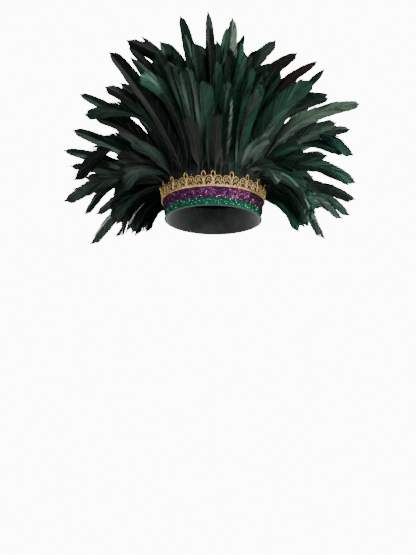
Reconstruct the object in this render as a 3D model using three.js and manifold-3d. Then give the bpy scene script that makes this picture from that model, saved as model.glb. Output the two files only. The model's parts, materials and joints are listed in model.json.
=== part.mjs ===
// Carnival feather headdress: a band round the head, dressed with green and purple glitter trims
// and a standing gold lace, with three rows of feathers on tapes behind the lace.
// Millimetres, +Z up. The origin is the middle of the ring, in the plane of its lower edge.
// The back of the headdress faces -Y, so that +X is on the right when it is seen from behind.
import * as THREE from "three";
import { mergeVertices } from "three/addons/utils/BufferGeometryUtils.js";
import Module from "manifold-3d";

const wasm = await Module();
wasm.setup();

// The ring is an ellipse, longer from back to front than across.
const RING_HALF_WIDTH = 77;
const RING_HALF_LENGTH = 93;
const RING_STEPS = 36;
const BAND_FLARE = 0.0625; // outward lean of the bands for each millimetre of height
const PIECE_GAP = 0.3;
const JOIN_TOLERANCE = 0.02;

const BASE_THICK = 1.6;
const BASE_HEIGHT = 47;
const GREEN_THICK = 1.0;
const GREEN_HEIGHT = 34;
const HEM_TOP = 4.5;
const PURPLE_THICK = 1.2;
const PURPLE_LOW = 13.5;
const PURPLE_HIGH = 31.5;
const PURPLE_RAG = 1.3; // how far the lower edge of the purple trim wanders up and down

const LACE_LOW = 30;
const LACE_HEIGHT = 26;
const LACE_THICK = 1.2;
const LACE_LEAN = 0.19; // outward lean for each millimetre of height
const LACE_CORD_THICK = 2.1; // at the foot, where the lace is sewn to a cord
const LACE_CORD_HEIGHT = 3.4;
const MOTIF_COUNT = 20;
const JOIN_ANGLE = 1.5; // where the two ends of the lace meet, in degrees from the back

const TAPE_THICK = 0.9;
const TAPE_LOW = 37;
const TAPE_HIGH = 49;
const QUILL_LOW = 47.5;
const QUILL_TOP = 61;
const EXIT_SHIFT = 0.25; // how far a quill is out of line where it leaves the lace, outwards
const EXIT_UNEVEN = 3; // and how far it is higher or lower there
const DOWN_WIDTH = 9; // width of the soft part of a vane as it comes out of the lace
const QUILL_WIDTH = 2.8;
const QUILL_THICK = 0.4;
const SHAFT_HEIGHT = 2.4; // height of the shaft's ridge at its thick end
const SHAFT_TAPER = 0.64; // how much of that height it loses towards the tip
const SHAFT_PROUD = 2 / 3; // how much of the ridge stands on the face of the vane
const SHAFT_BEND = 0.45; // how far along its chord a shaft is bent the most
const FACING_TURN = 55; // how far the vanes at the sides are turned to face back or front, in degrees
const FACING_SPREAD = 22; // how far single vanes are twisted from that, in degrees

const GREEN_INNER = BASE_THICK + PIECE_GAP;
const PURPLE_INNER = GREEN_INNER + GREEN_THICK + PIECE_GAP;
const LACE_EASE = 0.2; // more room under the lace, because its motifs are flatter than the ring
const LACE_INNER = PURPLE_INNER + PURPLE_THICK + PIECE_GAP + LACE_EASE + BAND_FLARE * PURPLE_HIGH;

// The three rows. Tape is the inside of the row's tape, measured from the inside of the band.
// Exit is where its quills stand at the top of the lace, and spread is how much further back or
// front than that the tips reach.
const ROWS = {
  inner: { tape: BASE_THICK + PIECE_GAP, exit: 4.8, spread: 0.35 },
  middle: { tape: BASE_THICK + TAPE_THICK + 2 * PIECE_GAP, exit: 7.6, spread: 0.9 },
  outer: { tape: BASE_THICK + 2 * TAPE_THICK + 3 * PIECE_GAP, exit: 10.3, spread: 1.15 },
};

// Feathers that shape the outline from behind.
// Columns: root angle from the back, tip x, tip z, arch of the shaft above its chord, vane width.
const INNER_FEATHERS = [
  [4, 5, 312, 25, 20],
  [14, 10, 278, 25, 16],
  [6, -40, 307, 2, 24],
  [-8, -125, 272, 60, 30],
  [-29, -103, 282, 45, 18],
  [-12, -72, 266, 30, 28],
  [17, 44, 302, 5, 24],
  [30, 60, 277, 60, 20],
  [38, 110, 271, 50, 27],
  [24, 104, 226, 60, 20],
  [30, 84, 252, 40, 26],
  [42, 100, 226, 70, 26],
  [57, 143, 261, 55, 26],
  [14, -14, 261, 35, 28],
];
const MIDDLE_FEATHERS = [
  [-38, -118, 248, 45, 18],
  [-22, -110, 221, 30, 18],
  [-30, -148, 236, 12, 26],
  [-26, -96, 194, 46, 30],
  [-42, -157, 188, 30, 24],
  [-59, -207, 193, 20, 20],
  [-58, -181, 152, 20, 22],
  [-68, -223, 141, 8, 22],
  [54, 176, 229, 45, 20],
  [62, 151, 226, 15, 20],
  [56, 188, 216, 15, 18],
  [60, 192, 180, 55, 20],
  [68, 193, 182, 40, 20],
  [90, 165, 197, 10, 20],
  [2, 3, 171, 14, 26],
];
const OUTER_FEATHERS = [
  [-51, -190, 145, 55, 26],
  [-76, -190, 129, 25, 22],
  [-75, -185, 114, 20, 20],
  [-88, -234, 78, 70, 30],
  [-96, -258, 138, 10, 20],
  [-107, -255, 123, 10, 20],
  [-112, -233, 107, 10, 22],
  [-76, -240, 28, 20, 26],
  [-79, -208, 9, 30, 20],
  [-108, -209, 38, 20, 20],
  [-113, -222, -10, 25, 26],
  [-116, -180, 5, 15, 24],
  [-128, -148, 22, 10, 20],
  [50, 170, 182, 25, 30],
  [62, 243, 159, 35, 24],
  [76, 233, 92, 65, 26],
  [78, 218, 97, 40, 20],
  [70, 205, 137, 15, 22],
  [76, 227, 134, 25, 20],
  [87, 197, 136, 12, 24],
  [89, 189, 106, 12, 22],
  [73, 235, 42, 25, 26],
  [80, 233, 21, 12, 22],
  [108, 225, 24, 25, 22],
  [106, 212, 17, 20, 20],
  [98, 178, 28, 8, 24],
  [118, 182, -6, 25, 24],
  [127, 144, 24, 12, 22],
];

// Plain feathers that fill each row: how far they reach outwards and how high their tips stand at
// the sides, and the same at the back and front. One run of them goes all the way round, and
// another makes the front thicker.
const FILL = {
  inner: {
    sideReach: 54,
    sideHigh: 205,
    endReach: 36,
    endHigh: 252,
    runs: [
      { from: 0, to: 360, count: 11, seed: 41 },
      { from: 120, to: 240, count: 5, seed: 2501 },
    ],
  },
  middle: {
    sideReach: 82,
    sideHigh: 145,
    endReach: 58,
    endHigh: 195,
    runs: [
      { from: 0, to: 360, count: 13, seed: 1241 },
      { from: 110, to: 250, count: 6, seed: 2521 },
    ],
  },
  outer: {
    sideReach: 78,
    sideHigh: 75,
    endReach: 74,
    endHigh: 120,
    runs: [
      { from: 0, to: 360, count: 13, seed: 1701 },
      { from: 130, to: 230, count: 4, seed: 2501 },
    ],
  },
};
const FILL_WIDTH = 25;
const FILL_ARCH = 0.1; // as a share of the chord
const FILL_SHIFT = 6; // how far a root is moved from even spacing, in degrees
const FILL_UNEVEN = 14; // how far a tip is higher or lower than the rule gives

// Each section of a vane: how far along the shaft it is, and its width as a share of the widest.
const VANE_SECTIONS = [
  [0.18, 0.74],
  [0.5, 1],
  [0.88, 0.74],
];

const UP = new THREE.Vector3(0, 0, 1);
const degrees = (angle) => (angle * Math.PI) / 180;

// A repeatable uneven number between -1 and 1 for the given whole number.
function uneven(number) {
  const wave = Math.sin(number * 12.9898 + 4.1) * 43758.5453;
  return 2 * (wave - Math.floor(wave)) - 1;
}

// A point on the ring: offset outwards from the inside of the band, angle from the back, height.
function ringPoint(offset, angle, height) {
  const turn = degrees(angle);
  return new THREE.Vector3(
    (RING_HALF_WIDTH + offset) * Math.sin(turn),
    -(RING_HALF_LENGTH + offset) * Math.cos(turn),
    height,
  );
}

// The same on the flat face between two steps of the ring, where the bands and tapes are.
function facetPoint(offset, angle, height) {
  const step = 360 / RING_STEPS;
  const before = Math.floor(angle / step) * step;
  const after = ringPoint(offset, before + step, height);
  return ringPoint(offset, before, height).lerp(after, (angle - before) / step);
}

function solidFrom(points, faces) {
  const vertProperties = new Float32Array(points.flatMap((point) => point.toArray()));
  const triVerts = new Uint32Array(faces.flat());
  return new wasm.Manifold(new wasm.Mesh({ numProp: 3, vertProperties, triVerts }));
}

function solidFromGeometry(geometry) {
  const vertProperties = new Float32Array(geometry.attributes.position.array);
  const triVerts = new Uint32Array(geometry.index.array);
  return new wasm.Manifold(new wasm.Mesh({ numProp: 3, vertProperties, triVerts }));
}

function geometryFromSolid(solid) {
  const { vertProperties, triVerts } = solid.getMesh();
  const geometry = new THREE.BufferGeometry();
  geometry.setAttribute("position", new THREE.BufferAttribute(vertProperties, 3));
  geometry.setIndex(new THREE.BufferAttribute(triVerts, 1));
  geometry.computeVertexNormals();
  return geometry;
}

// Joins solids into one. A pocket that is closed in where they cross is filled, and slivers
// thinner than the tolerance are taken up by their neighbours.
function joined(solids) {
  const whole = solids.reduce((sum, solid) => sum.add(solid));
  return whole.simplify(JOIN_TOLERANCE).decompose().find((shell) => shell.volume() > 0);
}

// A closed band: a section of [offset, height] corners, swept round the ring. The section may
// change on the way round, so it is given as a function of the angle.
function ringBand(sectionAt) {
  const points = [];
  const faces = [];
  const corners = sectionAt(0).length;
  for (let step = 0; step < RING_STEPS; step += 1) {
    const angle = (360 * step) / RING_STEPS;
    for (const [offset, height] of sectionAt(angle)) {
      points.push(ringPoint(offset, angle, height));
    }
    const here = step * corners;
    const next = ((step + 1) % RING_STEPS) * corners;
    for (let corner = 0; corner < corners; corner += 1) {
      const after = (corner + 1) % corners;
      faces.push([here + corner, next + corner, next + after]);
      faces.push([here + corner, next + after, here + after]);
    }
  }
  return solidFrom(points, faces);
}

// The section of a flat strip with the bands' own lean, between two heights.
function strip(inner, thick, low, high) {
  return [
    [inner + BAND_FLARE * low, low],
    [inner + thick + BAND_FLARE * low, low],
    [inner + thick + BAND_FLARE * high, high],
    [inner + BAND_FLARE * high, high],
  ];
}

function makeBaseBand() {
  return ringBand(() => strip(0, BASE_THICK, 0, BASE_HEIGHT));
}

// The green cloth turns over a cord at its foot, which makes the smooth round hem.
// Columns: how far out from the inside of the cloth, and height.
const HEM_SECTION = [
  [0, 0],
  [1.5, 0],
  [3, 1.5],
  [2.3, 3.3],
];

function makeGreenBand() {
  const outer = GREEN_INNER + GREEN_THICK;
  return ringBand(() => [
    ...HEM_SECTION.map(([out, height]) => [GREEN_INNER + out, height]),
    [outer + BAND_FLARE * HEM_TOP, HEM_TOP],
    [outer + BAND_FLARE * GREEN_HEIGHT, GREEN_HEIGHT],
    [GREEN_INNER + BAND_FLARE * GREEN_HEIGHT, GREEN_HEIGHT],
  ]);
}

// The ragged lower edge of the purple trim is the sum of these waves.
// Columns: waves in one turn of the ring, and where they begin, in degrees.
const RAG_WAVES = [
  [7, 0],
  [17, 40],
];

function makePurpleBand() {
  return ringBand((angle) => {
    const waves = RAG_WAVES.map(([count, start]) => Math.sin(degrees(angle * count + start)));
    const rag = (PURPLE_RAG * (waves[0] + waves[1])) / 2;
    return strip(PURPLE_INNER, PURPLE_THICK, PURPLE_LOW + rag, PURPLE_HIGH);
  });
}

// Lengths along the lace, measured round the ring from the back, to turn a length into an angle.
// They are taken at the height of its lower gaps.
const ARC_STEPS = 720;
const ARC_HEIGHT = 10.4;
const LACE_MIDDLE = LACE_INNER + LACE_LEAN * ARC_HEIGHT;
const arcLengths = [0];
for (let step = 1; step <= ARC_STEPS; step += 1) {
  const before = ringPoint(LACE_MIDDLE, (360 * (step - 1)) / ARC_STEPS, 0);
  const after = ringPoint(LACE_MIDDLE, (360 * step) / ARC_STEPS, 0);
  arcLengths.push(arcLengths[step - 1] + before.distanceTo(after));
}
const RING_LENGTH = arcLengths[ARC_STEPS];
const MOTIF_PITCH = RING_LENGTH / (MOTIF_COUNT - 0.5);

function angleAlong(length) {
  const wrapped = ((length % RING_LENGTH) + RING_LENGTH) % RING_LENGTH;
  const above = arcLengths.findIndex((value) => value > wrapped);
  const share = (wrapped - arcLengths[above - 1]) / (arcLengths[above] - arcLengths[above - 1]);
  return (360 * (above - 1 + share)) / ARC_STEPS;
}

// One motif of the lace, flat: a pointed spear between two round petals over a solid foot.
// Heights are from the foot of the lace, and widths from the middle of the motif.
const SPEAR_HALF = 4.1;
const SPEAR_WAIST = 3.1;
const SPEAR_FOOT = 14.2;
const SPEAR_SHOULDER = 19.5;
const PETAL_MIDDLE = 9;
const PETAL_FLAT = 0.4; // how far from the petal's middle its top ends on either side
const PETAL_CURVE = 4; // how far from the petal's middle its inner side bends
const PETAL_TOP = 18.2;
const PETAL_SIDE = 0.6; // how far in from the valley the outer side of a petal bends
const VALLEY_HEIGHT = 9.6;
const CORD_SCALLOP = 0.3; // how far the foot is drawn up between stitches
const END_OVERLAP = 0.3; // how far the first motif reaches under its neighbours

// Gaps of the motif. Columns: middle, foot, top, half width, sides.
const SPEAR_GAP = [0, 15.6, 22.3, 1.9, 4];
const SIDE_GAPS = [
  [PETAL_MIDDLE, 10.4, 16.4, 3.4, 4],
  [7.4, 4.6, 8.8, 3.6, 4],
];

function gapPoints([middle, foot, top, halfWidth, sides]) {
  return Array.from({ length: sides }, (_, side) => {
    const turn = (2 * Math.PI * side) / sides;
    const up = (foot + top) / 2 + ((top - foot) / 2) * Math.cos(turn);
    return new THREE.Vector2(middle + halfWidth * Math.sin(turn), up);
  });
}

// The outline of a motif, from its lower left corner to its lower right and back over the top.
// At the join of the lace the first motif has no left petal, because the last petal of the
// other end takes its place.
function motifOutline(left, right, hasLeftPetal) {
  const petalEnd = PETAL_MIDDLE + PETAL_FLAT;
  const shape = new THREE.Shape();
  shape.moveTo(left, 0);
  shape.lineTo(0, CORD_SCALLOP);
  shape.lineTo(right, 0);
  shape.lineTo(right, VALLEY_HEIGHT);
  shape.quadraticCurveTo(right - PETAL_SIDE, PETAL_TOP - 1, petalEnd, PETAL_TOP);
  shape.quadraticCurveTo(PETAL_MIDDLE - PETAL_CURVE, PETAL_TOP, SPEAR_WAIST, SPEAR_FOOT);
  shape.lineTo(SPEAR_HALF, SPEAR_SHOULDER);
  shape.lineTo(0, LACE_HEIGHT);
  shape.lineTo(-SPEAR_HALF, SPEAR_SHOULDER);
  shape.lineTo(-SPEAR_WAIST, SPEAR_FOOT);
  if (hasLeftPetal) {
    shape.quadraticCurveTo(PETAL_CURVE - PETAL_MIDDLE, PETAL_TOP, -petalEnd, PETAL_TOP);
    shape.quadraticCurveTo(left + PETAL_SIDE, PETAL_TOP - 1, left, VALLEY_HEIGHT);
  }
  return shape.getPoints(2).filter((point, index, all) => index === 0 || !point.equals(all[0]));
}

// A point of the flat lace, wound round the ring. Depth is 0 on the inside and 1 on the outside.
function woundPoint(length, height, depth) {
  const thick = height < LACE_CORD_HEIGHT ? LACE_CORD_THICK : LACE_THICK;
  const offset = LACE_INNER + LACE_LEAN * height + thick * depth;
  return ringPoint(offset, angleAlong(length), LACE_LOW + height);
}

// A run of motifs as one solid. Neighbours share the edge at their valley, so no wall is made
// there; only the two ends of the run are walled.
function laceRun(firstMiddle, count, hasLeftPetal) {
  const positions = [];
  const wall = (start, end) => {
    const [a, b] = [start, end].map(([length, height]) => woundPoint(length, height, 0));
    const [c, d] = [start, end].map(([length, height]) => woundPoint(length, height, 1));
    positions.push(a, b, d, a, d, c);
  };
  for (let index = 0; index < count; index += 1) {
    const middle = firstMiddle + MOTIF_PITCH * index;
    const isFirst = index === 0;
    const isLast = index === count - 1;
    const left = hasLeftPetal ? -MOTIF_PITCH / 2 : -SPEAR_WAIST;
    const right = MOTIF_PITCH / 2 + (count === 1 ? END_OVERLAP : 0);
    const outline = motifOutline(left, right, hasLeftPetal);
    const gaps = [gapPoints(SPEAR_GAP)];
    for (const [across, ...sizes] of SIDE_GAPS) {
      gaps.push(gapPoints([across, ...sizes]));
      if (hasLeftPetal) {
        gaps.push(gapPoints([-across, ...sizes]));
      }
    }
    const flat = [...outline, ...gaps.flat()];
    for (const corners of THREE.ShapeUtils.triangulateShape(outline, gaps)) {
      const [a, b, c] = corners.map((corner) => [middle + flat[corner].x, flat[corner].y]);
      positions.push(woundPoint(...a, 1), woundPoint(...b, 1), woundPoint(...c, 1));
      positions.push(woundPoint(...c, 0), woundPoint(...b, 0), woundPoint(...a, 0));
    }
    for (const loop of [outline, ...gaps]) {
      loop.forEach((start, place) => {
        const end = loop[(place + 1) % loop.length];
        const isShared =
          loop === outline &&
          start.x === end.x &&
          ((start.x === right && !isLast) || (start.x === left && !isFirst));
        if (!isShared) {
          wall([middle + start.x, start.y], [middle + end.x, end.y]);
        }
      });
    }
  }
  const geometry = mergeVertices(new THREE.BufferGeometry().setFromPoints(positions), 1e-4);
  return solidFromGeometry(geometry);
}

// The run begins and ends at the join. Its first motif is a solid of its own, which is joined on.
function makeGoldLace() {
  const firstMotif = (JOIN_ANGLE / 360) * RING_LENGTH + MOTIF_PITCH / 4;
  const rest = laceRun(firstMotif + MOTIF_PITCH, MOTIF_COUNT - 1, true);
  return joined([rest, laceRun(firstMotif, 1, false)]);
}

// Where a quill comes out of the lace. No two are quite in line, as on feathers sewn by hand.
function quillExit(row, angle, number) {
  const offset = row.exit + EXIT_SHIFT * uneven(number + 0.2);
  return ringPoint(offset, angle, QUILL_TOP + EXIT_UNEVEN * uneven(number + 0.7));
}

// A feather as it leaves the lace: its root angle and row, its tip, and how it is curved.
function shapedFeather(row, [angle, tipX, tipZ, arch, width], number) {
  const exit = quillExit(row, angle, number);
  const tip = new THREE.Vector3(tipX, exit.y * (1 + row.spread), tipZ);
  return { row, angle, exit, tip, arch, width, number };
}

function fillFeather(row, fill, run, index) {
  const number = run.seed + index;
  const share = (index + 0.5) / run.count;
  const angle = run.from + (run.to - run.from) * share + FILL_SHIFT * uneven(number);
  const sideways = Math.sin(degrees(angle)) ** 2;
  const reach = fill.endReach + (fill.sideReach - fill.endReach) * sideways;
  const high = fill.endHigh + (fill.sideHigh - fill.endHigh) * sideways;
  const exit = quillExit(row, angle, number);
  const tip = ringPoint(row.exit + reach, angle, high + FILL_UNEVEN * uneven(number + 0.5));
  const arch = FILL_ARCH * exit.distanceTo(tip);
  return { row, angle, exit, tip, arch, width: FILL_WIDTH, number };
}

function shaftCurve({ exit, tip, arch }) {
  const chord = tip.clone().sub(exit);
  const along = chord.clone().normalize();
  const lift = UP.clone().addScaledVector(along, -along.z).normalize();
  const control = exit.clone().addScaledVector(chord, SHAFT_BEND).addScaledVector(lift, 2 * arch);
  return new THREE.QuadraticBezierCurve3(exit, control, tip);
}

// The three corners of a feather's section: both edges of the vane, and the shaft on its face.
function featherSection(point, along, facing, width, shaft) {
  const across = facing.clone().cross(along).normalize();
  const face = along.clone().cross(across).normalize();
  const back = point.clone().addScaledVector(face, shaft * (SHAFT_PROUD - 1));
  return [
    back.clone().addScaledVector(across, width / 2),
    point.clone().addScaledVector(face, shaft * SHAFT_PROUD),
    back.clone().addScaledVector(across, -width / 2),
  ];
}

// Splits a four-cornered face along the diagonal that stands out more, so that a thin blade
// keeps its thickness where it twists.
function splitFace(points, first, second, third, fourth) {
  const [a, b, c, d] = [first, second, third, fourth].map((index) => points[index]);
  const outwards = c.clone().sub(a).cross(d.clone().sub(b));
  const step = a.clone().add(c).sub(b).sub(d);
  return step.dot(outwards) > 0
    ? [[first, second, third], [first, third, fourth]]
    : [[second, third, fourth], [second, fourth, first]];
}

function makeFeather(feather) {
  const { row, angle, exit, width, number } = feather;
  const outward = new THREE.Vector3(Math.sin(degrees(angle)), -Math.cos(degrees(angle)), 0);
  const facingAngle = degrees(
    angle - FACING_TURN * Math.sin(degrees(angle)) + FACING_SPREAD * uneven(number * 3),
  );
  const facing = new THREE.Vector3(Math.sin(facingAngle), -Math.cos(facingAngle), 0);
  const rootOffset = row.tape + TAPE_THICK / 2 + BAND_FLARE * QUILL_LOW;
  const root = facetPoint(rootOffset, angle, QUILL_LOW);
  const rising = exit.clone().sub(root).normalize();
  const shaft = shaftCurve(feather);
  const points = [
    ...featherSection(root, rising, outward, QUILL_WIDTH, QUILL_THICK),
    ...featherSection(exit, rising, outward, DOWN_WIDTH, QUILL_THICK * 2),
  ];
  for (const [share, widthShare] of VANE_SECTIONS) {
    const height = SHAFT_HEIGHT * (1 - SHAFT_TAPER * share);
    const along = shaft.getTangent(share);
    points.push(...featherSection(shaft.getPoint(share), along, facing, width * widthShare, height));
  }
  points.push(feather.tip);

  const faces = [[2, 1, 0]];
  const apex = points.length - 1;
  for (let start = 0; start < apex; start += 3) {
    for (let corner = 0; corner < 3; corner += 1) {
      const after = (corner + 1) % 3;
      if (start + 3 === apex) {
        faces.push([start + corner, start + after, apex]);
      } else {
        const next = start + 3;
        faces.push(...splitFace(points, start + corner, start + after, next + after, next + corner));
      }
    }
  }
  return solidFrom(points, faces);
}

function makeFeatherRow(row, shaped, fill) {
  const feathers = shaped.map((values, index) => shapedFeather(row, values, index));
  for (const run of fill.runs) {
    for (let index = 0; index < run.count; index += 1) {
      feathers.push(fillFeather(row, fill, run, index));
    }
  }
  const tape = ringBand(() => strip(row.tape, TAPE_THICK, TAPE_LOW, TAPE_HIGH));
  return joined([tape, ...feathers.map(makeFeather)]);
}

const headdress = new THREE.Group();

function addPiece(name, solid, color, roughness, metalness) {
  const material = new THREE.MeshStandardMaterial({ color, roughness, metalness });
  const mesh = new THREE.Mesh(geometryFromSolid(solid), material);
  mesh.name = name;
  headdress.add(mesh);
}

addPiece("base_band", makeBaseBand(), 0x151a18, 0.9, 0);
addPiece("green_band", makeGreenBand(), 0x0f6a48, 0.5, 0.1);
addPiece("purple_band", makePurpleBand(), 0x7a3d86, 0.35, 0.3);
addPiece("gold_lace", makeGoldLace(), 0xc9a45c, 0.4, 0.8);
addPiece(
  "inner_feather_row",
  makeFeatherRow(ROWS.inner, INNER_FEATHERS, FILL.inner),
  0x10271d,
  0.6,
  0,
);
addPiece(
  "middle_feather_row",
  makeFeatherRow(ROWS.middle, MIDDLE_FEATHERS, FILL.middle),
  0x1a4a35,
  0.6,
  0,
);
addPiece(
  "outer_feather_row",
  makeFeatherRow(ROWS.outer, OUTER_FEATHERS, FILL.outer),
  0x2c4038,
  0.6,
  0,
);

export default headdress;
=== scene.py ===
# %% [markdown]
# Carnival feather headdress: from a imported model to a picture.
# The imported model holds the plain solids: four bands on one ring and three rows of blades.
# This script dresses them with the real surfaces: felt, glitter, sequins, gold cords and barbs.
# Everything is in metres, with +Z up and the back of the headdress facing -Y.

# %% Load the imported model
import json
import math
from collections import namedtuple
from functools import partial

import bpy
import numpy as np
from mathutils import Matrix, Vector

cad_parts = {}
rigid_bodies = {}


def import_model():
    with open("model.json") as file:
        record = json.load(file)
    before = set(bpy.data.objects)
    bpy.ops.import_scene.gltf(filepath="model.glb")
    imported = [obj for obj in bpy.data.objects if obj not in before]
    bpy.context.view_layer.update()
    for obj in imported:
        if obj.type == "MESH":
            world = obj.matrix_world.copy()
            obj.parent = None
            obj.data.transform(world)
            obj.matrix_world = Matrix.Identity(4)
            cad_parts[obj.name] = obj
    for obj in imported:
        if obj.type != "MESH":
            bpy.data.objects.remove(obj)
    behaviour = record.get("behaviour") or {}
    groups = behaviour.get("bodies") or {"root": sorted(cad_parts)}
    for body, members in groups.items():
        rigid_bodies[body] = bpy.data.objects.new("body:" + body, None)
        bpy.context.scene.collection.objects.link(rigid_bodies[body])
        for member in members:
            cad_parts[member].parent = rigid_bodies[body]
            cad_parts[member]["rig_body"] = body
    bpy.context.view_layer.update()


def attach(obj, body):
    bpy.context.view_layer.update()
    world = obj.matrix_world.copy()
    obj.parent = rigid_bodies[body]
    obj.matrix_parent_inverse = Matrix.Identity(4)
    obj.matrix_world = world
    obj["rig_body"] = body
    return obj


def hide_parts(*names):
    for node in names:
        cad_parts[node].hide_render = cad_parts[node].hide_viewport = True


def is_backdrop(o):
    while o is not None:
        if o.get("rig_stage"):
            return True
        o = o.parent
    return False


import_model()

MM = 0.001

# %% [markdown]
# Every piece sits on the same ring, so its rule comes first: an ellipse that is longer from
# back to front than across, and bands that lean outwards a little. These sizes are the ones that
# the solids were made with, so each dressed piece lands exactly on its solid.

# %% The ring that everything sits on
RING_HALF_WIDTH = 77
RING_HALF_LENGTH = 93
BAND_FLARE = 0.0625  # outward lean for each millimetre of height
RING_STEPS = 240


def ring_point(offset, angle, height):
    """A point in millimetres: offset from the inside of the band, degrees from the back, height."""
    turn = math.radians(angle)
    across = (RING_HALF_WIDTH + offset) * math.sin(turn)
    return np.array([across, -(RING_HALF_LENGTH + offset) * math.cos(turn), height])


def uneven(number):
    """A repeatable uneven number between -1 and 1."""
    wave = math.sin(number * 12.9898 + 4.1) * 43758.5453
    return 2 * (wave - math.floor(wave)) - 1


print("inside of the ring, mm:", 2 * RING_HALF_WIDTH, "by", 2 * RING_HALF_LENGTH)

# %% [markdown]
# Node trees are written here as lists of nodes. One helper adds a node, sets its properties, and
# fills or links its inputs. It picks the socket that is switched on, because some nodes keep one
# hidden socket of the same name for each data type.

# %% A helper for every node tree


def socket_of(sockets, key):
    """The socket with this number, or the first one in use with this name."""
    if isinstance(key, int):
        return sockets[key]
    return next(socket for socket in sockets if socket.name == key and socket.enabled)


def add_node(tree, kind, inputs=None, output=0, **settings):
    """Adds a node and returns one of its outputs. An input that is a socket is linked."""
    node = tree.nodes.new(kind)
    for name, value in settings.items():
        setattr(node, name, value)
    for key, value in (inputs or {}).items():
        socket = socket_of(node.inputs, key)
        if isinstance(value, bpy.types.NodeSocket):
            tree.links.new(value, socket)
        else:
            socket.default_value = value
    return socket_of(node.outputs, output) if node.outputs else node


def math_node(tree, operation, *values):
    """A Math node. More than two values to add or multiply are taken two at a time."""
    while operation in ("ADD", "MULTIPLY") and len(values) > 2:
        values = (math_node(tree, operation, *values[:2]), *values[2:])
    return add_node(tree, "ShaderNodeMath", dict(enumerate(values)), operation=operation)


def linear(hex_colour):
    """An sRGB hex colour as the linear red, green, blue and alpha that shaders take."""
    parts = [int(hex_colour[i : i + 2], 16) / 255 for i in (1, 3, 5)]
    return [p / 12.92 if p <= 0.04045 else ((p + 0.055) / 1.055) ** 2.4 for p in parts] + [1.0]


# %% [markdown]
# A Geometry Nodes tree gets named inputs, and each is set on the modifier by its identifier.
# The result is turned into a plain mesh.

# %% Make a tree and run it


def new_tree(name, **inputs):
    """A geometry tree with named inputs, given for each kind. Returns the tree and its inputs."""
    tree = bpy.data.node_groups.new(name, "GeometryNodeTree")
    tree.interface.new_socket("Geometry", in_out="OUTPUT", socket_type="NodeSocketGeometry")
    tree.interface.new_socket("Geometry", in_out="INPUT", socket_type="NodeSocketGeometry")
    for kind, labels in inputs.items():
        for label in labels:
            socket_type = "NodeSocket" + kind.title()
            tree.interface.new_socket(label, in_out="INPUT", socket_type=socket_type)
    given = tree.nodes.new("NodeGroupInput").outputs
    return tree, {socket.name: socket for socket in given if socket.name}


def end_tree(tree, geometry):
    add_node(tree, "NodeGroupOutput", {"Geometry": geometry})


def triangle_count(mesh):
    mesh.calc_loop_triangles()
    return len(mesh.loop_triangles)


def add_object(name, data):
    made = bpy.data.objects.new(name, data)
    bpy.context.scene.collection.objects.link(made)
    return made


def grow(name, source, tree, settings):
    """Runs a tree on an object and returns what it makes as a plain mesh object."""
    modifier = source.modifiers.new("grow", "NODES")
    modifier.node_group = tree
    for item in tree.interface.items_tree:
        if item.in_out == "INPUT" and item.name in settings:
            modifier[item.identifier] = settings[item.name]
    depsgraph = bpy.context.evaluated_depsgraph_get()
    evaluated = source.evaluated_get(depsgraph)
    mesh = bpy.data.meshes.new_from_object(
        evaluated, preserve_all_data_layers=True, depsgraph=depsgraph
    )
    source.modifiers.remove(modifier)
    mesh.name = name
    print(name, triangle_count(mesh), "triangles")
    return add_object(name, mesh)


def helper_object(name, points, edges=(), faces=()):
    """An object from points in metres, used as the input of a tree."""
    mesh = bpy.data.meshes.new(name)
    mesh.from_pydata([tuple(p) for p in points], list(edges), list(faces))
    mesh.update()
    return add_object(name, mesh)


# How many numbers a value has, then the kind of layer that holds it and the name of its field.
LAYERS = {1: ("FLOAT", "value"), 3: ("FLOAT_VECTOR", "vector"), 4: ("FLOAT_COLOR", "color")}


def store(thing, name, values):
    """Keeps a value for each point of an object's mesh, for a tree or a material to read."""
    values = np.asarray(values, np.float32)
    kind, field = LAYERS[values.size // len(values)]
    thing.data.attributes.new(name, kind, "POINT").data.foreach_set(field, values.ravel())


def finish_piece(piece, nodes, material=None):
    """What every piece needs: its material, its body, and the solid it stands for hidden."""
    if material:
        piece.data.materials.clear()
        piece.data.materials.append(material)
    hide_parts(*nodes)
    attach(piece, "root")


# %% [markdown]
# Flakes, cords and feathers share a few jobs, so each job is written once: read a value that the
# points carry, draw a random one, put a copy of an object on each point, and sweep a round tube
# along lines. Each copy gets a random number by name, which its material turns into a colour.

# %% Jobs that the trees share


def read(tree, name, kind="FLOAT"):
    return add_node(
        tree, "GeometryNodeInputNamedAttribute", {"Name": name}, output="Attribute", data_type=kind
    )


def random_value(tree, low, high, seed, number=None, kind="FLOAT"):
    """A random value for each element, or one for all elements with the same number."""
    inputs = {"Min": low, "Max": high, "Seed": seed}
    if number is not None:
        inputs["ID"] = number
    return add_node(tree, "FunctionNodeRandomValue", inputs, output="Value", data_type=kind)


def put_copies(tree, points, shape, turn, size, mark, seed):
    """Real copies of an object on points. Each copy keeps a random number under this name."""
    inputs = {"Object": shape}
    copied = add_node(
        tree, "GeometryNodeObjectInfo", inputs, output="Geometry", transform_space="ORIGINAL"
    )
    inputs = {"Points": points, "Instance": copied, "Rotation": turn, "Scale": size}
    copies = add_node(tree, "GeometryNodeInstanceOnPoints", inputs)
    inputs = {"Geometry": copies, "Name": mark, "Value": random_value(tree, 0.0, 1.0, seed)}
    marked = add_node(
        tree, "GeometryNodeStoreNamedAttribute", inputs, data_type="FLOAT", domain="INSTANCE"
    )
    return add_node(tree, "GeometryNodeRealizeInstances", {"Geometry": marked})


def sweep(tree, lines, radius, sides):
    """A closed round tube along each line."""
    inputs = {"Resolution": sides, "Radius": 1.0}
    section = add_node(tree, "GeometryNodeCurvePrimitiveCircle", inputs)
    inputs = {"Curve": lines, "Profile Curve": section, "Scale": radius, "Fill Caps": True}
    return add_node(tree, "GeometryNodeCurveToMesh", inputs)


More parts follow.
